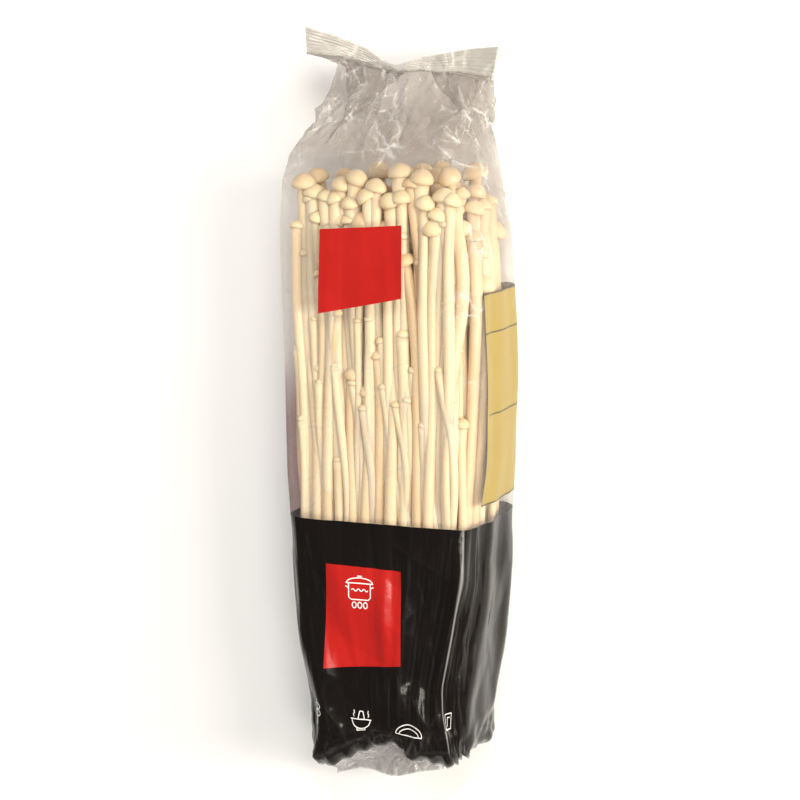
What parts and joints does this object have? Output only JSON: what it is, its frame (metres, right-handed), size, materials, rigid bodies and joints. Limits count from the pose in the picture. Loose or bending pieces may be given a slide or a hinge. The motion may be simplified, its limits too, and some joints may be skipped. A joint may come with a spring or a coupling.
{
  "type": "bagged enoki mushroom bunch",
  "caption": "Bunch of long thin enoki mushrooms with small round caps on a fused root base, lying in its clear side-gusseted film bag with folded end seals.",
  "frame": {"origin": "bottom centre of the whole bag as it lies on its back panel", "axes": "+Y along the stems towards the caps and the pinched top seal, +Z from the back panel up to the front panel, +X across the bunch"},
  "size_m": [0.06, 0.2225, 0.0432],
  "materials": {
    "clear_film": "clear thin film",
    "root_flesh": null,
    "mushroom_flesh": null
  },
  "bodies": {
    "root": {"film_bag": "clear_film", "root_base": "root_flesh", "tuft_01": "mushroom_flesh", "tuft_02": "mushroom_flesh", "tuft_03": "mushroom_flesh", "tuft_04": "mushroom_flesh", "tuft_05": "mushroom_flesh", "tuft_06": "mushroom_flesh", "tuft_07": "mushroom_flesh", "tuft_08": "mushroom_flesh", "tuft_09": "mushroom_flesh", "tuft_10": "mushroom_flesh", "tuft_11": "mushroom_flesh", "tuft_12": "mushroom_flesh", "tuft_13": "mushroom_flesh", "tuft_14": "mushroom_flesh", "tuft_15": "mushroom_flesh", "tuft_16": "mushroom_flesh", "tuft_17": "mushroom_flesh", "tuft_18": "mushroom_flesh", "tuft_19": "mushroom_flesh", "tuft_20": "mushroom_flesh", "tuft_21": "mushroom_flesh", "tuft_22": "mushroom_flesh", "tuft_23": "mushroom_flesh", "tuft_24": "mushroom_flesh", "tuft_25": "mushroom_flesh", "tuft_26": "mushroom_flesh", "tuft_27": "mushroom_flesh", "tuft_28": "mushroom_flesh", "tuft_29": "mushroom_flesh", "tuft_30": "mushroom_flesh"}
  },
  "joints": []
}
